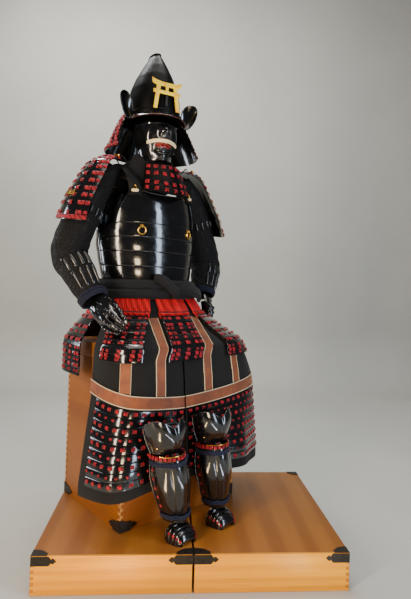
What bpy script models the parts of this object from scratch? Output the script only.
"""A suit of samurai armour, seated on its wooden chest on a two-part plinth.

Metres, +Z up. The plinth's front faces -Y. What stands on it has frames of its own, as
empties: "seat" is turned towards +X, and its heights start at the plinth's top; the chest and
the legs stand in it. "armour" is the same, a little aside from the chest's middle. In both the
armour faces -Y and its wearer's left side is at +X. "head" turns the helmet and the mask.
The armour is hollow: each piece is a thin wall, worked out as a surface, with its outer skin
and its inner skin at their own distances from that surface.
"""
import math

import bmesh
import bpy
from mathutils import Vector

# ---- plinth and chest ---------------------------------------------------------------------
PLINTH_CENTRE = Vector((0.02505, -0.07056))
PLINTH_WIDTH = 0.90
PLINTH_DEPTH = 0.60
PLINTH_HEIGHT = 0.108
PLINTH_BOARD = 0.018
IRON = 0.0015
IRON_HALF_WIDTH = 0.032
IRON_ON_TOP = 0.030
IRON_ON_FRONT = 0.036
IRON_FROM_EDGE = 0.033
IRON_FROM_SEAM = 0.040
CHEST_WIDTH = 0.470
CHEST_DEPTH = 0.380
CHEST_HEIGHT = 0.555
CHEST_BOARD = 0.012
LID_HEIGHT = 0.052
LOCK_WIDTH = 0.036
LOCK_THICK = 0.012
LOCK_BELOW_LID = (0.120, 0.260)
GAP = 0.0004
SEAT_TURN = math.radians(36.8)
SEAT_OFFSET = Vector((-0.1455, 0.1078))
ARMOUR_ASIDE = 0.0146

# ---- cuirass ------------------------------------------------------------------------------
# its level ellipses: height, half width, half depth, y of its middle
TORSO = (
    (0.690, 0.168, 0.122, 0.072),
    (0.770, 0.176, 0.130, 0.076),
    (0.820, 0.186, 0.138, 0.082),
    (0.900, 0.198, 0.147, 0.089),
    (0.950, 0.199, 0.147, 0.090),
    (1.020, 0.192, 0.140, 0.088),
    (1.080, 0.178, 0.126, 0.085),
    (1.130, 0.150, 0.105, 0.080),
)
CUIRASS_PLATE = 0.0022
LAME_BELLY = 0.0012
LAME_SEAMS = (0.972, 0.921, 0.870, 0.817, 0.768)
# how far round from the front's middle each seam's lames reach, in degrees
LAME_REACH = (65, 84, 89.6, 89.6, 89.6)
CHEST_PLATE_TOP = 1.098
CHEST_PLATE_REACH = (64, 48)
CHEST_PLATE_DIP = 0.020
BACK_PLATE_TOP = 1.122
BACK_PLATE_REACH = (89.6, 47.6)
RING_HEIGHT = 0.944
RING_ANGLE = 31
RING_RADIUS = 0.0135
RING_WIRE = 0.0022
RING_STANDS_OFF = 0.0030
STRAP_WIDTH = 0.046
STRAP_CLEAR = 0.0019
# across the strap: share of its half width, how thick its padding is
STRAP_PADDING = ((-1, 0.0010), (-0.7, 0.0060), (0, 0.0075), (0.7, 0.0060), (1, 0.0010))
# the cloth yoke from its standing collar to its foot: half width, half depth, y of its middle, height
YOKE = (Vector((0.070, 0.062, 0.056, 1.200)), Vector((0.082, 0.071, 0.060, 1.182)),
        Vector((0.112, 0.086, 0.070, 1.152)), Vector((0.140, 0.096, 0.079, 1.098)))
YOKE_CLOTH = 0.0028
# how much higher the collar stands behind the neck than in front of it
COLLAR_RISE = 0.036

# ---- around the waist ---------------------------------------------------------------------
# the outline that the sash, the tassets and the apron follow, from round to nearly square:
# height, half width to the right, half width to the left, front, side line, back, squareness
SKIRT = (
    (0.740, 0.178, 0.178, -0.058, 0.074, 0.207, 2.0),
    (0.700, 0.190, 0.188, -0.068, 0.072, 0.213, 2.0),
    (0.650, 0.216, 0.208, -0.104, 0.066, 0.222, 2.2),
    (0.600, 0.250, 0.234, -0.168, 0.040, 0.229, 3.2),
    (0.556, 0.288, 0.264, -0.230, 0.000, 0.230, 4.8),
    (0.500, 0.290, 0.316, -0.238, -0.005, 0.230, 4.2),
    (0.450, 0.294, 0.336, -0.244, -0.015, 0.230, 4.2),
    (0.400, 0.298, 0.342, -0.248, -0.025, 0.230, 4.2),
    (0.140, 0.344, 0.362, -0.264, -0.085, 0.230, 3.4),
)
# the slit between the thigh panels lies to the right of the middle, fully from here down
SLIT = -0.0586
SLIT_FROM = 0.66
SLIT_FULLY = 0.52
SLIT_GAP = 0.006
SASH_TOP = 0.772
SASH_BOTTOM = 0.700
SASH_CLEAR = 0.0035
# the rolled sash: height, how far it stands out
SASH_ROLLS = ((SASH_TOP, 0.0065), (0.762, 0.0160), (0.742, 0.0170), (0.732, 0.0110),
              (0.720, 0.0170), (SASH_BOTTOM, 0.0120))
# strands of the sash that lie over it: distance round from the front's middle, height, out
SASH_KNOT = ((-0.062, 0.762, 0.026), (-0.045, 0.764, 0.030), (-0.022, 0.756, 0.032),
             (0.000, 0.742, 0.033), (0.018, 0.726, 0.032), (0.030, 0.708, 0.028))
SASH_TAIL = ((0.055, 0.716, 0.030), (0.090, 0.713, 0.031), (0.130, 0.705, 0.031),
             (0.170, 0.694, 0.030), (0.205, 0.682, 0.027))
SASH_KNOT_HALF = (0.013, 0.0085)
SASH_TAIL_HALF = (0.015, 0.0080)
LACING_HEIGHTS = (0.697, 0.689, 0.668, 0.643)
LACING_OUT = (0.0070, 0.0095)
# the tassets: share of the way round to the back's middle, how much lower than the front one
TASSET_PLACES = {"front": (0.0, 0.0), "front_right": (-0.262, -0.006), "front_left": (0.262, 0.0),
                 "side_right": (-0.560, 0.062), "side_left": (0.560, 0.062),
                 "back_right": (-0.850, 0.040), "back_left": (0.850, 0.040)}
TASSET_TOP = 0.640
TASSET_FOOT = 0.512
TASSET_WIDTHS = (0.122, 0.142)
TASSET_LAMES = 5
TASSET_CLEAR = 0.0136
LACQUERED = 0.0020
LAME_STEP = 0.0022

# ---- thigh apron --------------------------------------------------------------------------
APRON_TOP = 0.706
APRON_CLOTH = 0.0026
APRON_SEAM = 0.3877
# how far round to the back's middle each panel reaches
APRON_REACH = {-1: 0.405, 1: 0.485}
# height at the slit, how much higher the outer edge is there
APRON_RISE = ((0.706, 0.0), (0.600, 0.004), (0.520, 0.022), (0.402, 0.050), (0.365, 0.046),
              (0.146, -0.038))
BAND_TOP = 0.402
BAND_FOOT = 0.365
BAND_OUT = (0.0009, 0.0034)
FIELD_BOTTOM = 0.146
FIELD_CLOTH = 0.0030
KNEE_BULGE = 0.030
KNEE_BULGE_AT = 0.225
KNEE_BULGE_WIDTH = 0.070
KNEE_BULGE_FALL = 0.16

# ---- helmet, mask and throat guard, from the head's own axis --------------------------------
HEAD_PLACE = Vector((-0.004, 0.062, 0.0))
HEAD_TURN = math.radians(-11)
# the tall cap: height, half width, half depth, from its rim to its blunt tip
HELMET = (
    (1.362, 0.0990, 0.1140), (1.400, 0.0990, 0.1140), (1.440, 0.0965, 0.1110),
    (1.485, 0.0860, 0.1020), (1.530, 0.0680, 0.0890), (1.570, 0.0460, 0.0710),
    (1.602, 0.0275, 0.0510), (1.620, 0.0175, 0.0380),
)
HELMET_PLATE = 0.0020
TIP_PLATE = (0.004, 0.0024)
VISOR_REACH = 66
VISOR_HEIGHT = 1.371
VISOR_OUT = (0.010, 0.016)
VISOR_DROP = (0.016, 0.003)
VISOR_PLATE = 0.0018
NECK_TOP = 1.392
NECK_FOOT = 1.240
NECK_FLARE = 0.074
NECK_SQUASH = 0.36
NECK_CLEAR = 0.0050
NECK_OPENING = 77
# how much further round the lowest lame reaches than the top one
NECK_WIDENS = 0.15
TURNBACK_PLACE = Vector((-0.135, -0.052, 1.448))
TURNBACK_ACROSS = Vector((0.89, 0.45, 0.0))
TURNBACK_LENGTH = 0.094
TURNBACK_HALF = 0.033
CREST_WIDTH = 0.117
CREST_HEIGHT = 0.110
CREST_TOP = 1.494
CREST_FRONT = -0.1190
CREST_PLATE = 0.0030
# heights under the crest's top: the lintel's foot, the tie beam's top and foot
LINTEL_FOOT = 0.026
TIE_BEAM = (0.041, 0.054)
LINTEL_THICK = 0.015
POST_HALF = 0.0075
STRUT_HALF = 0.0055
MASK_TOP = 1.338
MASK_HEIGHT = 0.132
MASK_MIDDLE = -0.026
MASK_PLATE = 0.0020
# half width and half depth of the mask at its top, and how much less they are at its chin
MASK_HALF = (0.079, 0.083)
MASK_NARROWS = (0.025, 0.016)
# what stands out of the mask: how far, at what share out and down, how wide and how high
NOSE = (0.024, 0.0, 0.24, 0.16, 0.20)
LIPS = (0.006, 0.0, 0.58, 0.34, 0.13)
CHIN = (0.011, 0.0, 0.90, 0.26, 0.13)
CHEEK = (0.006, 0.42, 0.26, 0.17, 0.22)
THROAT_TOP = 1.196
THROAT_FOOT = 1.082
THROAT_MIDDLE = 0.036
THROAT_REACH = 62
# half width and half depth of the throat guard at its top, and how much they grow to its foot
THROAT_HALF = (0.078, 0.074)
THROAT_GROWS = (0.034, 0.056)

# ---- shoulder guards and arms, as the wearer's right ones -----------------------------------
# the shoulder guard's middle line: how far out, how high, from its top edge to its foot
SODE_ROUTE = ((-0.150, 1.215), (-0.199, 1.209), (-0.242, 1.182), (-0.275, 1.135), (-0.305, 1.080),
              (-0.331, 1.028), (-0.350, 0.966))
SODE_FRONT = (0.030, -0.016)
SODE_BACK = (0.146, 0.160)
SODE_CURL = (0.022, 0.042)
SODE_TILT = 0.010
SODE_LAMES = 6
# the sleeve's middle line and half thickness, from the shoulder to the elbow
UPPER_ARM = (
    (Vector((-0.160, 0.086, 1.166)), 0.038), (Vector((-0.201, 0.088, 1.121)), 0.048),
    (Vector((-0.232, 0.091, 1.065)), 0.054), (Vector((-0.256, 0.095, 1.005)), 0.058),
    (Vector((-0.280, 0.099, 0.945)), 0.061), (Vector((-0.300, 0.102, 0.890)), 0.063),
    (Vector((-0.306, 0.092, 0.840)), 0.062),
)
# shares of the way from the elbow to the wrist, half thickness
FOREARM = ((0.34, 0.057), (0.66, 0.050), (0.94, 0.041))
# each hand's wrist and fingertips
HANDS = {"right": (Vector((-0.266, -0.026, 0.690)), Vector((-0.241, -0.174, 0.616))),
         "left": (Vector((-0.262, 0.052, 0.712)), Vector((-0.246, 0.002, 0.616)))}
HAND_FACES = Vector((-0.86, -0.50, 0.06))
HAND_HALF_WIDTH = 0.044
HAND_RISE = 0.026
SLEEVE_CLOTH = 0.0024
SPLINT = (0.0022, 0.0042)

# ---- shins and feet ---------------------------------------------------------------------------
# x of each leg at its knee and at its foot
LEGS = {"right": (-0.172, -0.108), "left": (0.014, 0.052)}
LEG_DEPTH = -0.302
KNEE_TOP = 0.368
KNEE_FOOT = 0.266
KNEE_NOTCH = 0.020
SHIN_TOP = 0.258
SHIN_FOOT = 0.056
SHIN_PLATE = 0.0020
FOOT_HALF_WIDTH = 0.043
FOOT_LENGTH = 0.056
FOOT_HEIGHT = 0.047


# ---- ways of making a piece ---------------------------------------------------------------
def clamp(value, low=0.0, high=1.0):
    return min(max(value, low), high)


def bell(value, middle, width):
    """A smooth hump: 1 at its middle, falling away either side."""
    return math.exp(-((value - middle) / width) ** 2)


def spread(low, high, count):
    return [low + (high - low) * i / (count - 1) for i in range(count)]


def reset():
    for thing in list(bpy.data.objects):
        bpy.data.objects.remove(thing)


def frame(name, parent, place, turn):
    """An empty that other pieces stand in."""
    empty = bpy.data.objects.new(name, None)
    bpy.context.scene.collection.objects.link(empty)
    empty.parent = parent
    empty.location = place
    empty.rotation_euler = (0.0, 0.0, turn)
    return empty


def finish(name, colour, roughness, metallic=0.0):
    """A Principled material, made once."""
    material = bpy.data.materials.get(name)
    if material is None:
        material = bpy.data.materials.new(name)
        material.use_nodes = True
        shader = material.node_tree.nodes["Principled BSDF"]
        shader.inputs["Base Color"].default_value = (*colour, 1.0)
        shader.inputs["Roughness"].default_value = roughness
        shader.inputs["Metallic"].default_value = metallic
    return material


def black_lacquer():
    return finish("black_lacquer", (0.010, 0.010, 0.011), 0.16)


def black_iron():
    return finish("black_iron", (0.030, 0.028, 0.026), 0.55, 0.6)


def new_piece(name, bm, material, parent, smooth=True):
    """One named object from a bmesh, faces turned outwards."""
    bmesh.ops.recalc_face_normals(bm, faces=bm.faces)
    mesh = bpy.data.meshes.new(name)
    bm.to_mesh(mesh)
    bm.free()
    mesh.materials.append(material)
    if smooth:
        mesh.shade_smooth()
        mesh.set_sharp_from_angle(angle=math.radians(35))
    piece = bpy.data.objects.new(name, mesh)
    bpy.context.scene.collection.objects.link(piece)
    piece.parent = parent
    return piece


def loft(name, loops, material, parent, joined=False, smooth=True):
    """A body through closed loops of points: a ring if joined, else with its ends closed."""
    bm = bmesh.new()
    rings = [[bm.verts.new(point) for point in loop] for loop in loops]
    following = rings[1:] + rings[:1] if joined else rings[1:]
    for a, b in zip(rings, following):
        for i in range(len(a)):
            j = (i + 1) % len(a)
            bm.faces.new((a[i], a[j], b[j], b[i]))
    if not joined:
        bm.faces.new(rings[0])
        bm.faces.new(list(reversed(rings[-1])))
    return new_piece(name, bm, material, parent, smooth)


def grid_cells(rows, columns, closed=False):
    """The corners of each cell of a grid; closed joins the last column to the first."""
    spans = columns if closed else columns - 1
    return [[(i, j), (i, (j + 1) % columns), (i + 1, (j + 1) % columns), (i + 1, j)]
            for i in range(rows - 1) for j in range(spans)]


def two_skins(name, skins, cells, material, parent):
    """A closed thin body: an outer and an inner grid of points, joined round their edges."""
    bm = bmesh.new()
    used = sorted({corner for cell in cells for corner in cell})
    outer, inner = [{(i, j): bm.verts.new(skin[i][j]) for i, j in used} for skin in skins]
    sides = set()
    for cell in cells:
        bm.faces.new([outer[corner] for corner in cell])
        bm.faces.new([inner[corner] for corner in reversed(cell)])
        sides.update(zip(cell, cell[1:] + cell[:1]))
    for a, b in sorted(sides):
        if (b, a) not in sides:
            bm.faces.new((outer[b], outer[a], inner[a], inner[b]))
    return new_piece(name, bm, material, parent)


def moved_out(surface, u, v, out, downwards=-1, nudge=2e-3):
    """A surface's point, moved along its outward normal.

    u runs from the wearer's right to left across a front. v is a height, which falls
    downwards, or with downwards=1 a share that grows from top to foot.
    """
    across = surface(u + nudge, v) - surface(u - nudge, v)
    down = (surface(u, v + nudge) - surface(u, v - nudge)) * downwards
    return surface(u, v) + down.cross(across).normalized() * out


def wall(name, surface, us, rows, inner, material, parent, closed=False, cap=False, mirror=False):
    """A thin wall on a surface.

    rows is a list of (v, out): where each row is, and how far out the outer skin is there.
    inner is how far out the inner skin is, less than nothing if it lies behind the surface.
    closed joins the last column to the first, cap closes the first row, and mirror makes the
    wearer's left piece from the right one's surface.
    """
    flip = -1.0 if mirror else 1.0
    downwards = 1 if rows[-1][0] > rows[0][0] else -1
    skins = []
    for outs in ([out for _, out in rows], [inner] * len(rows)):
        skin = []
        for (v, _), out in zip(rows, outs):
            points = [moved_out(surface, u, v, out, downwards) for u in us]
            skin.append([Vector((flip * point.x, point.y, point.z)) for point in points])
        skins.append(skin)
    cells = grid_cells(len(rows), len(us), closed)
    if cap:
        cells.append([(0, j) for j in reversed(range(len(us)))])
    return two_skins(name, skins, cells, material, parent)


def plain_rows(values, out=0.0):
    return [(value, out) for value in values]


def lame_rows(top, foot, count, step=LAME_STEP, nick=0.0009):
    """Rows of overlapping strips: each one's lower edge stands proud of the next one's top."""
    rows = []
    for i in range(count):
        upper = top + (foot - top) * i / count
        lower = top + (foot - top) * (i + 1) / count
        rows.append((upper + (math.copysign(nick, foot - top) if i else 0.0), 0.0))
        rows.append((lower, step))
    return rows


def read_table(table, height):
    """The row of a table at a height, between its own rows."""
    rows = sorted(table)
    if height <= rows[0][0]:
        return rows[0][1:]
    for low, high in zip(rows, rows[1:]):
        if height <= high[0]:
            share = (height - low[0]) / (high[0] - low[0])
            return tuple(a + (b - a) * share for a, b in zip(low[1:], high[1:]))
    return rows[-1][1:]


def along_route(points, share):
    """A point on a smooth curve through a route's points, share 0 to 1."""
    place = clamp(share) * (len(points) - 1)
    i = min(int(place), len(points) - 2)
    t = place - i
    before = points[max(i - 1, 0)]
    after = points[min(i + 2, len(points) - 1)]
    a, b = points[i], points[i + 1]
    pull_a, pull_b = (b - before) / 2, (after - a) / 2
    return (a * (2 * t ** 3 - 3 * t ** 2 + 1) + pull_a * (t ** 3 - 2 * t ** 2 + t)
            + b * (3 * t ** 2 - 2 * t ** 3) + pull_b * (t ** 3 - t ** 2))


# ---- plinth and chest ---------------------------------------------------------------------
def rectangle(low, high, height, inset=0.0):
    """The four corners of a level rectangle."""
    west, south = low.x + inset, low.y + inset
    east, north = high.x - inset, high.y - inset
    return [Vector((x, y, height)) for x, y in
            ((west, south), (east, south), (east, north), (west, north))]


def tray(name, low, high, board, opening, material, parent):
    """A box of boards, open on top (opening 1) or underneath (-1)."""
    shut, mouth = (low.z, high.z) if opening > 0 else (high.z, low.z)
    loops = [rectangle(low, high, shut), rectangle(low, high, mouth),
             rectangle(low, high, mouth, board), rectangle(low, high, shut + board * opening, board)]
    return loft(name, loops, material, parent, smooth=False)


def block(name, low, high, ease, material, parent):
    """A solid block with its edges eased."""
    bm = bmesh.new()
    bmesh.ops.create_cube(bm, size=1.0)
    bmesh.ops.scale(bm, vec=high - low, verts=bm.verts)
    bmesh.ops.translate(bm, vec=(high + low) / 2, verts=bm.verts)
    bmesh.ops.bevel(bm, geom=list(bm.edges), offset=ease, segments=1, affect="EDGES")
    return new_piece(name, bm, material, parent, smooth=False)


def corner_iron(name, x, front, top, material):
    """A flat iron bent over the plinth's front edge: one leg on the top, one down the face."""
    profile = ((GAP, GAP - IRON_ON_FRONT), (GAP, GAP), (-IRON_ON_TOP, GAP),
               (-IRON_ON_TOP, GAP + IRON), (GAP + IRON, GAP + IRON), (GAP + IRON, GAP - IRON_ON_FRONT))
    loops = [[Vector((x + side, front - ahead, top + up)) for ahead, up in profile]
             for side in (-IRON_HALF_WIDTH, IRON_HALF_WIDTH)]
    loft(name, loops, material, None, smooth=False)


def build_plinth():
    wood = finish("plinth_wood", (0.62, 0.33, 0.11), 0.5)
    middle = PLINTH_CENTRE.x
    front, back = PLINTH_CENTRE.y - PLINTH_DEPTH / 2, PLINTH_CENTRE.y + PLINTH_DEPTH / 2
    halves = {"plinth_right": (middle - PLINTH_WIDTH / 2, middle - GAP),
              "plinth_left": (middle + GAP, middle + PLINTH_WIDTH / 2)}
    for name, (west, east) in halves.items():
        low, high = Vector((west, front, 0.0)), Vector((east, back, PLINTH_HEIGHT))
        tray(name, low, high, PLINTH_BOARD, -1, wood, None)
    corner = PLINTH_WIDTH / 2 - IRON_FROM_EDGE
    places = {"iron_corner_right": -corner, "iron_centre_right": -IRON_FROM_SEAM,
              "iron_centre_left": IRON_FROM_SEAM, "iron_corner_left": corner}
    for name, x in places.items():
        corner_iron(name, middle + x, front, PLINTH_HEIGHT, black_iron())


def build_chest(seat):
    wood = finish("chest_wood", (0.60, 0.34, 0.13), 0.5)
    half_width, half_depth = CHEST_WIDTH / 2, CHEST_DEPTH / 2
    seam = CHEST_HEIGHT - LID_HEIGHT
    tray("chest_body", Vector((-half_width, -half_depth, GAP)), Vector((half_width, half_depth, seam)),
         CHEST_BOARD, 1, wood, seat)
    block("chest_lid", Vector((-half_width, -half_depth, seam + GAP)),
          Vector((half_width, half_depth, CHEST_HEIGHT)), IRON, wood, seat)
    face = -half_depth - GAP
    top, foot = LOCK_BELOW_LID
    block("chest_lock", Vector((-LOCK_WIDTH / 2, face - LOCK_THICK, seam - foot)),
          Vector((LOCK_WIDTH / 2, face, seam - top)), IRON, black_iron(), seat)


# ---- cuirass ------------------------------------------------------------------------------
def torso(angle, height):
    """The cuirass's outer surface; angle in degrees from the front towards the wearer's left."""
    width, depth, middle = read_table(TORSO, height)
    turn = math.radians(angle)
    return Vector((width * math.sin(turn), middle - depth * math.cos(turn), height))


def front_plate(u, v):
    """The chest plate: u is -1 to 1 across, v the height; it narrows and dips at its top."""
    rise = clamp((v - LAME_SEAMS[0]) / (CHEST_PLATE_TOP - LAME_SEAMS[0]), 0.0, 2.0)
    low, high = CHEST_PLATE_REACH
    dip = CHEST_PLATE_DIP * (1 - u ** 2) * rise ** 2
    return torso(u * (low + (high - low) * rise ** 1.3), v - dip)


def back_plate(u, v):
    """The back: full width up to the armholes, narrower above them."""
    low, high = BACK_PLATE_REACH
    rise = clamp((v - LAME_SEAMS[1]) / (BACK_PLATE_TOP - LAME_SEAMS[1]) * 1.25)
    return torso(180 + u * (low + (high - low) * rise), v)


def front_lame(k):
    """One of the front's hoops, which reach further round from seam to seam."""
    top, foot = LAME_SEAMS[k], LAME_SEAMS[k + 1]

    def surface(u, v):
        share = clamp((top - v) / (top - foot) * 1.6)
        return torso(u * (LAME_REACH[k] + (LAME_REACH[k + 1] - LAME_REACH[k]) * share), v)
    return surface


def build_cuirass(armour):
    rows = plain_rows(spread(CHEST_PLATE_TOP, LAME_SEAMS[0] + GAP, 6))
    wall("chest_plate", front_plate, spread(-1, 1, 13), rows, -CUIRASS_PLATE, black_lacquer(), armour)
    for k in range(len(LAME_SEAMS) - 1):
        heights = spread(LAME_SEAMS[k] - GAP, LAME_SEAMS[k + 1] + GAP, 4)
        rows = list(zip(heights, (0.0, LAME_BELLY, LAME_BELLY, 0.0)))
        wall("front_lame_%d" % (k + 1), front_lame(k), spread(-1, 1, 15), rows, -CUIRASS_PLATE,
             black_lacquer(), armour)
    rows = plain_rows(spread(BACK_PLATE_TOP, LAME_SEAMS[1] + 0.012, 4))
    rows += lame_rows(LAME_SEAMS[1], LAME_SEAMS[-1], 3, LAME_BELLY)
    wall("back_plate", back_plate, spread(-1, 1, 13), rows, -CUIRASS_PLATE, black_lacquer(), armour)
    for side, name in ((-1, "right"), (1, "left")):
        build_ring("ring_" + name, side * RING_ANGLE, armour)
        build_strap("shoulder_strap_" + name, side, armour)


def build_ring(name, angle, armour):
    """A gilt ring that hangs flat in front of the cuirass."""
    gold = finish("gilt", (0.86, 0.62, 0.20), 0.25, 1.0)
    hang = torso(angle, RING_HEIGHT)
    outward = moved_out(torso, angle, RING_HEIGHT, 1.0) - hang
    outward.z = 0.0
    outward.normalize()
    across = Vector((-outward.y, outward.x, 0.0))
    middle = hang + outward * (RING_WIRE + RING_STANDS_OFF)
    loops = []
    for turn in spread(0.0, math.tau, 19)[:-1]:
        spoke = across * math.sin(turn) - Vector((0, 0, 1)) * math.cos(turn)
        loops.append([middle + spoke * (RING_RADIUS + RING_WIRE * math.cos(bend))
                      + outward * RING_WIRE * math.sin(bend) for bend in spread(0.0, math.tau, 7)[:-1]])
    loft(name, loops, gold, armour, joined=True)


def torso_tangent(angle):
    """The level direction along the torso at an angle, always towards the wearer's left."""
    step = torso(angle + 1, CHEST_PLATE_TOP) - torso(angle - 1, CHEST_PLATE_TOP)
    return (step if step.x > 0 else -step).normalized()


def build_strap(name, side, armour):
    """A padded strap over the shoulder from the back plate to the chest plate."""
    level = Vector((1, 0, 0))
    stations = [(moved_out(torso, 180 - side * 41, 1.092, STRAP_CLEAR), torso_tangent(180 - side * 41)),
                (moved_out(torso, 180 - side * 42, 1.124, STRAP_CLEAR), torso_tangent(180 - side * 42))]
    for out, back, up in ((0.124, 0.152, 1.168), (0.131, 0.118, 1.183), (0.133, 0.080, 1.186),
                          (0.132, 0.040, 1.172), (0.127, 0.004, 1.138)):
        stations.append((Vector((side * out, back, up)), level))
    stations += [(moved_out(torso, side * 43, 1.098, STRAP_CLEAR), torso_tangent(side * 43)),
                 (moved_out(torso, side * 42, 1.066, STRAP_CLEAR), torso_tangent(side * 42))]
    middles = [middle for middle, _ in stations]
    directions = [direction for _, direction in stations]

    def strap(u, v):
        across = along_route(directions, v).normalized()
        return along_route(middles, v) + across * u * STRAP_WIDTH / 2

    loops = []
    for v in spread(0.0, 1.0, 13):
        crown = [moved_out(strap, u, v, out, 1, 0.01) for u, out in STRAP_PADDING]
        loops.append(crown + [strap(1, v), strap(-1, v)])
    loft(name, loops, black_lacquer(), armour)


def yoke(u, v):
    """The cloth over the shoulders: u in degrees from the front, v from neck to shoulder."""
    width, depth, middle, height = along_route(YOKE, v)
    turn = math.radians(u)
    stand = COLLAR_RISE * ((1.0 - math.cos(turn)) / 2 * (1.0 - clamp(v))) ** 2
    return Vector((width * math.sin(turn), middle - depth * math.cos(turn), height + stand))


def build_yoke(armour):
    cloth = finish("black_mail_cloth", (0.014, 0.015, 0.016), 0.85)
    wall("shoulder_yoke", yoke, spread(-180, 180, 25)[:-1], plain_rows(spread(0.0, 1.0, 5)),
         -YOKE_CLOTH, cloth, armour, closed=True)


# ---- around the waist ---------------------------------------------------------------------
def skirt(angle, height):
    """The outline that everything below the waist follows; angle in degrees from the front."""
    right, left, front, side, back, square = read_table(SKIRT, height)
    turn = math.radians(angle)
    sine, cosine = math.sin(turn), math.cos(turn)
    power = 2.0 / square
    width = left if sine > 0 else right
    reach = side - front if cosine > 0 else back - side
    lowness = clamp((SLIT_FROM - height) / (SLIT_FROM - SLIT_FULLY))
    shift = SLIT * lowness * max(cosine, 0.0) ** 4
    x = width * math.copysign(abs(sine) ** power, sine) + shift
    return Vector((x, side - reach * math.copysign(abs(cosine) ** power, cosine), height))


def half_way_round(height, side, steps=60):
    """Points round to the back's middle on one side, and how far along each is."""
    points = [skirt(side * 180.0 * i / steps, height) for i in range(steps + 1)]
    lengths = [0.0]
    for a, b in zip(points, points[1:]):
        lengths.append(lengths[-1] + (b - a).length)
    return points, lengths


def round_waist(along, height):
    """A point on the skirt's outline, by its distance from the front's middle."""
    points, lengths = half_way_round(height, 1 if along >= 0 else -1)
    target = min(abs(along), lengths[-1] - 1e-6)
    for i, (near, far) in enumerate(zip(lengths, lengths[1:])):
        if target <= far:
            return points[i].lerp(points[i + 1], (target - near) / (far - near))
    return points[-1]


def tasset(place):
    """One hanging panel; u is -1 to 1 across it, v the height."""
    side = 1 if place >= 0 else -1

    def surface(u, v):
        share = clamp((TASSET_TOP - v) / (TASSET_TOP - TASSET_FOOT), 0.0, 1.2)
        width = TASSET_WIDTHS[0] + (TASSET_WIDTHS[1] - TASSET_WIDTHS[0]) * share
        middle = place * half_way_round(v, side)[1][-1]
        return round_waist(middle + u * width / 2, v)
    return surface


def build_strand(name, route, half_width, half_depth, armour):
    """A twist of the sash that lies along a route over it."""
    points = [moved_out(round_waist, along, height, out) for along, height, out in route]
    loops = []
    for i, point in enumerate(points):
        along = (points[min(i + 1, len(points) - 1)] - points[max(i - 1, 0)]).normalized()
        outward = Vector((point.x, point.y - HEAD_PLACE.y, 0.0)).normalized()
        across = along.cross(outward).normalized()
        outward = across.cross(along)
        taper = 0.55 + 0.45 * math.sin(math.pi * (0.15 + 0.7 * i / (len(points) - 1)))
        loops.append([point + (across * half_width * math.cos(turn) + outward * half_depth
                      * math.sin(turn)) * taper for turn in spread(0.0, math.tau, 11)[:-1]])
    loft(name, loops, finish("black_sash", (0.012, 0.013, 0.014), 0.9), armour)


def build_sash(armour):
    wall("sash_band", skirt, spread(-180, 180, 33)[:-1], SASH_ROLLS, SASH_CLEAR,
         finish("black_sash", (0.012, 0.013, 0.014), 0.9), armour, closed=True)
    build_strand("sash_knot", SASH_KNOT, *SASH_KNOT_HALF, armour)
    build_strand("sash_tail", SASH_TAIL, *SASH_TAIL_HALF, armour)


def build_tassets(armour):
    order = sorted(TASSET_PLACES.items(), key=lambda item: item[1][0])
    edges = (-0.95, -0.35, 0.35, 0.95)
    skins = []
    for out in reversed(LACING_OUT):
        skins.append([[moved_out(tasset(place), u, v, out) for _, (place, _) in order for u in edges]
                      for v in LACING_HEIGHTS])
    columns = len(order) * len(edges)
    cells = [cell for cell in grid_cells(len(LACING_HEIGHTS), columns, closed=True)
             if cell[0][0] == 0 or cell[0][1] % len(edges) != len(edges) - 1]
    two_skins("suspension_lacing", skins, cells, finish("red_lacing", (0.62, 0.01, 0.04), 0.8), armour)
    for name, (place, drop) in order:
        rows = [(v, TASSET_CLEAR + out) for v, out in
                lame_rows(TASSET_TOP, TASSET_FOOT - drop, TASSET_LAMES)]
        wall("tasset_" + name, tasset(place), spread(-1, 1, 5), rows, TASSET_CLEAR - LACQUERED,
             black_lacquer(), armour)


# ---- thigh apron --------------------------------------------------------------------------
def apron(side):
    """The panel over one thigh; u is 0 at the slit and 1 at the outer edge, v the height."""
    def surface(u, v):
        share = u if side > 0 else -u
        height = v + read_table(APRON_RISE, v)[0] * max(share, 0.0) ** 1.4
        reach = half_way_round(height, side)[1][-1] * APRON_REACH[side]
        along = SLIT_GAP / 2 + share * (reach - SLIT_GAP / 2)
        point = round_waist(side * along, height)
        low = clamp((BAND_FOOT - v) / KNEE_BULGE_FALL)
        bulge = KNEE_BULGE * low * bell(along, KNEE_BULGE_AT, KNEE_BULGE_WIDTH)
        return point + Vector((point.x, point.y, 0.0)).normalized() * bulge
    return surface


def build_apron(armour):
    cloth = finish("black_hemp", (0.02, 0.022, 0.028), 0.9)
    leather = finish("brown_leather", (0.42, 0.16, 0.05), 0.6)
    field = finish("plated_cloth", (0.016, 0.018, 0.018), 0.8)
    for side, name in ((-1, "right"), (1, "left")):
        us = sorted(side * u for u in spread(0, 1, 13))
        heights = [APRON_TOP, 0.672, 0.636, 0.600, 0.572, 0.546, 0.500, 0.445, APRON_SEAM + GAP]
        wall("apron_cloth_" + name, apron(side), us, plain_rows(heights), -APRON_CLOTH, cloth, armour)
        heights = [APRON_SEAM] + spread(BAND_FOOT, FIELD_BOTTOM, 6)
        wall("apron_field_" + name, apron(side), us, plain_rows(heights), -FIELD_CLOTH, field, armour)
        inner, outer = BAND_OUT
        wall("apron_band_" + name, apron(side), us, plain_rows((BAND_TOP, APRON_SEAM, BAND_FOOT), outer),
             inner, leather, armour)


# ---- helmet, mask and throat guard ----------------------------------------------------------
def cap(angle, height):
    """The helmet's tall cap; angle in degrees from the face's side."""
    width, depth = read_table(HELMET, height)
    turn = math.radians(angle)
    return Vector((width * math.sin(turn), -depth * math.cos(turn), height))


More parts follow.
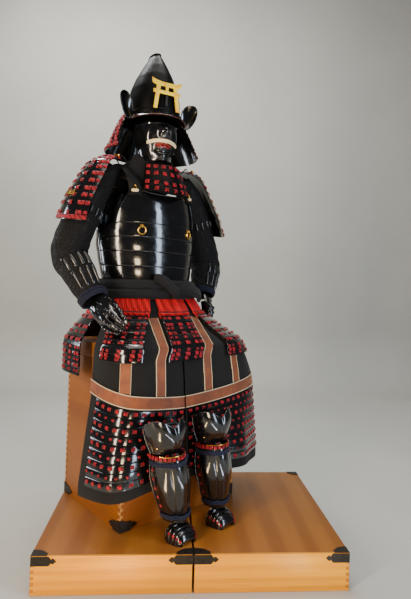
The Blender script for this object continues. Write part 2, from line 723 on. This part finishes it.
def visor(u, v):
    """u is -1 to 1 round the brow; v runs 0 to 1 outwards and down, less at the sides."""
    turn = u * VISOR_REACH
    dip = 0.004 * math.cos(math.radians(turn))
    edge = moved_out(cap, turn, VISOR_HEIGHT + dip, 0.0032)
    outward = Vector((edge.x, edge.y, 0.0)).normalized()
    reach = VISOR_OUT[0] + VISOR_OUT[1] * math.cos(math.radians(turn * 1.1))
    drop = (VISOR_DROP[0] + VISOR_DROP[1] * u ** 2) * (0.55 + 0.45 * v)
    return edge + outward * reach * v - Vector((0, 0, 1)) * drop * v


def neck(u, v):
    """The neck guard: u in degrees from the back's middle, v the height."""
    share = max((NECK_TOP - v) / (NECK_TOP - NECK_FOOT), 0.0)
    width, depth = read_table(HELMET, NECK_TOP)
    grow = NECK_CLEAR + NECK_FLARE * share ** 0.82
    turn = math.radians(180 + u * (1.0 + NECK_WIDENS * share ** 1.5))
    return Vector(((width + grow) * math.sin(turn),
                   -(depth * (1.0 - NECK_SQUASH * share) + grow) * math.cos(turn), v))


def turnback(u, v):
    """An egg-shaped ear, broad at its top, that faces forwards; u across, v from top to foot."""
    half = TURNBACK_HALF * math.sin(math.pi * clamp(v * 0.94 + 0.03)) ** 0.55 * (1.08 - 0.34 * v)
    middle = TURNBACK_PLACE + Vector((0.016 * v, 0.008 * v, -TURNBACK_LENGTH * v))
    across = TURNBACK_ACROSS.normalized()
    forwards = Vector((across.y, -across.x, 0.0))
    return middle + across * half * u + forwards * (0.010 * u * u - 0.006)


def build_helmet(head):
    satin = finish("satin_black_iron", (0.018, 0.018, 0.019), 0.35)
    heights = [row[0] for row in reversed(HELMET)]
    rise, lip = TIP_PLATE
    rows = [(heights[0] + rise, lip), (heights[0] + GAP, lip)] + plain_rows(heights)
    wall("helmet_bowl", cap, spread(-180, 180, 25)[:-1], rows, -HELMET_PLATE, satin, head,
         closed=True, cap=True)
    wall("helmet_visor", visor, spread(-1, 1, 13), plain_rows(spread(0, 1, 4)), -VISOR_PLATE,
         black_lacquer(), head)
    reach = 180 - NECK_OPENING
    wall("neck_guard", neck, spread(-reach, reach, 17), lame_rows(NECK_TOP, NECK_FOOT, 4), -LACQUERED,
         black_lacquer(), head)
    rows = plain_rows(spread(0.02, 0.98, 8))
    for name, mirror in (("turnback_right", False), ("turnback_left", True)):
        wall(name, turnback, spread(-1, 1, 6), rows, -VISOR_PLATE, black_lacquer(), head, mirror=mirror)


def crest_shapes():
    """The gate's outline, and the two windows over its tie beam, in its own plane."""
    half = CREST_WIDTH / 2
    foot = CREST_TOP - CREST_HEIGHT
    lintel_foot = CREST_TOP - LINTEL_FOOT
    lintel_top = lintel_foot + LINTEL_THICK
    end_rise = CREST_TOP - 0.002 - lintel_top
    tie_top, tie_foot = [CREST_TOP - down for down in TIE_BEAM]

    def post(height, side=0):
        """How far out a post's middle line is, or its inner (-1) or outer (1) edge."""
        share = (lintel_foot - height) / (lintel_foot - foot)
        return half * (0.56 + 0.20 * share) + side * POST_HALF

    right = [(0.0, lintel_top), (half * 0.5, lintel_top + end_rise * 0.18),
             (half, lintel_top + end_rise), (half * 0.93, lintel_foot + end_rise * 0.55),
             (post(lintel_foot, 1), lintel_foot + end_rise * 0.10),
             (post(tie_top, 1), tie_top), (half * 0.90, tie_top), (half * 0.90, tie_foot),
             (post(tie_foot, 1), tie_foot), (post(foot, 1), foot),
             (post(foot, -1), foot), (post(tie_foot, -1), tie_foot), (0.0, tie_foot)]
    shapes = [right + [(-x, z) for x, z in reversed(right[1:-1])]]
    window = [(STRUT_HALF, lintel_foot), (post(lintel_foot, -1), lintel_foot),
              (post(tie_top, -1), tie_top), (STRUT_HALF, tie_top)]
    return shapes + [[(side * x, z) for x, z in window] for side in (-1, 1)]


def build_crest(head):
    """A torii gate cut from sheet: lintel with raised ends, tie beam, strut and splayed posts."""
    bm = bmesh.new()
    edges = []
    for shape in crest_shapes():
        loop = [bm.verts.new((x, CREST_FRONT, z)) for x, z in shape]
        edges += [bm.edges.new((a, b)) for a, b in zip(loop, loop[1:] + loop[:1])]
    bmesh.ops.triangle_fill(bm, use_beauty=True, use_dissolve=False, edges=edges)
    result = bmesh.ops.extrude_face_region(bm, geom=list(bm.faces))
    moved = [item for item in result["geom"] if isinstance(item, bmesh.types.BMVert)]
    bmesh.ops.translate(bm, vec=(0, -CREST_PLATE, 0), verts=moved)
    new_piece("torii_crest", bm, finish("gilt_crest", (0.93, 0.68, 0.08), 0.35), head, smooth=False)


def mask(u, v):
    """A half mask from under the eyes to the chin; u is -1 to 1 across, v runs down."""
    turn = math.radians(u * 92.0)
    width, depth = [half - less * max(v, 0.0) ** 2.4 for half, less in zip(MASK_HALF, MASK_NARROWS)]
    point = Vector((width * math.sin(turn), MASK_MIDDLE - depth * math.cos(turn), MASK_TOP - MASK_HEIGHT * v))
    stands = sum(far * bell(abs(u), out, across) * bell(v, down, high)
                 for far, out, down, across, high in (NOSE, LIPS, CHIN, CHEEK))
    return point + Vector((math.sin(turn), -math.cos(turn), 0.0)) * stands


def moustache(u, v):
    """A curved band over the lip, on the mask's own points; v is -1 to 1 down it."""
    return mask(u * 0.50, 0.485 + 0.05 * u * u + 0.035 * v)


def throat(u, v):
    """The throat guard under the chin: u in degrees from the front, v the height."""
    share = max((THROAT_TOP - v) / (THROAT_TOP - THROAT_FOOT), 0.0)
    turn = math.radians(u)
    width, depth = [half + more * share ** 0.8 for half, more in zip(THROAT_HALF, THROAT_GROWS)]
    high = v + share * (0.018 * math.sin(turn) ** 2 - 0.008)
    return Vector((width * math.sin(turn), THROAT_MIDDLE - depth * math.cos(turn), high))


def build_face(head, armour):
    wall("face_mask", mask, spread(-1, 1, 19), plain_rows(spread(0.0, 1.0, 9)), -MASK_PLATE,
         black_lacquer(), head)
    rows = [(-1, 0.0032), (-0.4, 0.0062), (0.4, 0.0062), (1, 0.0032)]
    wall("moustache", moustache, spread(-1, 1, 11), rows, 0.0023,
         finish("ivory_hair", (0.78, 0.66, 0.45), 0.6), head)
    wall("throat_guard", throat, spread(-THROAT_REACH, THROAT_REACH, 13),
         lame_rows(THROAT_TOP, THROAT_FOOT, 3), -LACQUERED, black_lacquer(), armour)


# ---- shoulder guards and arms ----------------------------------------------------------------
def sode(u, v):
    """The wearer's right shoulder guard; u runs from back to front, v from top to foot."""
    middle = along_route([Vector((x, 0.0, z)) for x, z in SODE_ROUTE], v)
    front = SODE_FRONT[0] + (SODE_FRONT[1] - SODE_FRONT[0]) * v
    back = SODE_BACK[0] + (SODE_BACK[1] - SODE_BACK[0]) * v
    depth = (back + front) / 2 - u * (back - front) / 2
    curl = (SODE_CURL[1] if u > 0 else SODE_CURL[0]) * abs(u) ** 2.4 * clamp(v * 2.2)
    droop = 0.020 * u ** 2 * max(1.0 - v * 2.2, 0.0) + SODE_TILT * u * v
    return Vector((middle.x + curl, depth, middle.z - droop))


def sleeve(side):
    """A sleeve: u in degrees round it from the front, v from the shoulder to the wrist."""
    elbow = UPPER_ARM[-1][0]
    rows = list(UPPER_ARM) + [(elbow.lerp(HANDS[side][0], share), half) for share, half in FOREARM]
    centres = [centre for centre, _ in rows]

    def surface(u, v):
        v = clamp(v)
        ahead = along_route(centres, v + 0.01) - along_route(centres, v - 0.01)
        down = ahead.normalized()
        place = v * (len(rows) - 1)
        i = min(int(place), len(rows) - 2)
        radius = rows[i][1] + (rows[i + 1][1] - rows[i][1]) * (place - i)
        across = (Vector((1, 0, 0)) - down * down.x).normalized()
        front = down.cross(across)
        turn = math.radians(u)
        return along_route(centres, v) + (across * math.sin(turn) + front * math.cos(turn)) * radius
    return surface


def hand(side):
    """The back of a hand: u is -1 to 1 over the fingers, v from the wrist to their tips."""
    wrist, tips = HANDS[side]
    down = (tips - wrist).normalized()
    outward = (HAND_FACES - down * HAND_FACES.dot(down)).normalized()
    across = outward.cross(down)

    def surface(u, v):
        narrow = clamp((v - 0.75) / 0.25, 0.0, 2.0)
        half = HAND_HALF_WIDTH * (0.80 + 0.22 * math.sin(math.pi * clamp(v * 1.15)) - 0.22 * narrow)
        knuckles = 0.0045 * clamp((v - 0.42) / 0.15) * abs(math.sin(math.tau * u * 0.98))
        bow = 0.72 + 0.45 * math.sin(math.pi * min(v * 0.9 + 0.12, 1.0))
        rise = HAND_RISE * bow * (1.0 - 0.45 * clamp((v - 0.8) / 0.2, 0.0, 2.0))
        turn = math.radians(u * 98)
        return (wrist.lerp(tips, v) + across * half * math.sin(turn)
                + outward * (rise * math.cos(turn) + knuckles))
    return surface


def build_arms(armour):
    cloth = finish("black_mail_cloth", (0.014, 0.015, 0.016), 0.85)
    for side, mirror in (("right", False), ("left", True)):
        wall("shoulder_guard_" + side, sode, spread(-1, 1, 8), lame_rows(0.0, 1.0, SODE_LAMES, nick=0.006),
             -LACQUERED, black_lacquer(), armour, mirror=mirror)
        wall("sleeve_" + side, sleeve(side), spread(-180, 180, 15)[:-1], plain_rows(spread(0.0, 1.0, 11)),
             -SLEEVE_CLOTH, cloth, armour, closed=True, mirror=mirror)
        inner, outer = SPLINT
        wall("forearm_plate_" + side, sleeve(side), spread(-98, 28, 9),
             plain_rows(spread(0.68, 0.955, 6), outer), inner, black_lacquer(), armour, mirror=mirror)
        wall("hand_guard_" + side, hand(side), spread(-1, 1, 13), plain_rows(spread(0.045, 1.0, 7)),
             -CUIRASS_PLATE, black_lacquer(), armour, mirror=mirror)


# ---- shins and feet ---------------------------------------------------------------------------
def leg_line(side, height):
    """x of a leg's middle at a height."""
    knee, foot = LEGS[side]
    return foot + (knee - foot) * clamp((height - SHIN_FOOT) / (KNEE_TOP - SHIN_FOOT))


def shin(side):
    """The shin guard: u in degrees from the front, v the height; three flat-faced plates."""
    def surface(u, v):
        share = max((SHIN_TOP - v) / (SHIN_TOP - SHIN_FOOT), 0.0)
        turn = math.radians(u)
        reach = (0.050 + 0.004 * math.sin(math.pi * min(share * 1.6, 1.0)) - 0.014 * share ** 1.5
                 + 0.0016 * math.cos(3 * turn))
        return Vector((leg_line(side, v) + reach * math.sin(turn), LEG_DEPTH - reach * math.cos(turn), v))
    return surface


def knee(side):
    """The shield over a knee: v is 0 at its two-lobed top and 1 at its foot."""
    def surface(u, v):
        high = (KNEE_TOP - KNEE_NOTCH + KNEE_NOTCH * (1 - bell(u, 0.0, 0.22))
                - 0.020 * max(abs(u) - 0.62, 0.0) / 0.38)
        height = high + (KNEE_FOOT - high) * v
        half = 0.068 - 0.014 * v + 0.004 * math.sin(math.pi * v)
        turn = math.radians(u * 88)
        swell = 0.010 * math.cos(turn) * math.sin(math.pi * min(v * 0.9 + 0.15, 1.0))
        return Vector((leg_line(side, height) + half * math.sin(turn),
                       LEG_DEPTH + 0.006 - (half - 0.010 + swell) * math.cos(turn), height))
    return surface


def foot(side):
    """A rounded toe cap: u in degrees over it from the wearer's right, v from ankle to toe."""
    ankle = Vector((LEGS[side][1], LEG_DEPTH - 0.006, 0.0012))

    def surface(u, v):
        bend = math.radians(90 * v)
        turn = math.radians(u)
        out = math.copysign(abs(math.sin(turn)) ** 0.80, math.sin(turn))
        out *= (FOOT_HALF_WIDTH - 0.004 * v) * math.cos(bend * 0.80) ** 0.5
        high = FOOT_HEIGHT * math.cos(bend * 0.86) * max(math.cos(turn), 0.0) ** 0.62
        return ankle + Vector((out, -FOOT_LENGTH * math.sin(bend), high))
    return surface


def build_legs(seat):
    for side in LEGS:
        wall("shin_guard_" + side, shin(side), spread(-104, 104, 13),
             plain_rows(spread(SHIN_TOP, SHIN_FOOT, 5)), -SHIN_PLATE, black_lacquer(), seat)
        wall("knee_guard_" + side, knee(side), spread(-1, 1, 13), plain_rows(spread(0, 1, 6)),
             -SHIN_PLATE, black_lacquer(), seat)
        wall("foot_guard_" + side, foot(side), spread(-90, 90, 11), plain_rows(spread(0.0, 0.99, 6)),
             -SHIN_PLATE, black_lacquer(), seat)


def main():
    reset()
    place = PLINTH_CENTRE + SEAT_OFFSET
    seat = frame("seat", None, (place.x, place.y, PLINTH_HEIGHT), SEAT_TURN)
    armour = frame("armour", seat, (ARMOUR_ASIDE, 0.0, 0.0), 0.0)
    head = frame("head", armour, HEAD_PLACE, HEAD_TURN)
    build_plinth()
    build_chest(seat)
    build_cuirass(armour)
    build_yoke(armour)
    build_sash(armour)
    build_tassets(armour)
    build_apron(armour)
    build_helmet(head)
    build_crest(head)
    build_face(head, armour)
    build_arms(armour)
    build_legs(seat)


main()
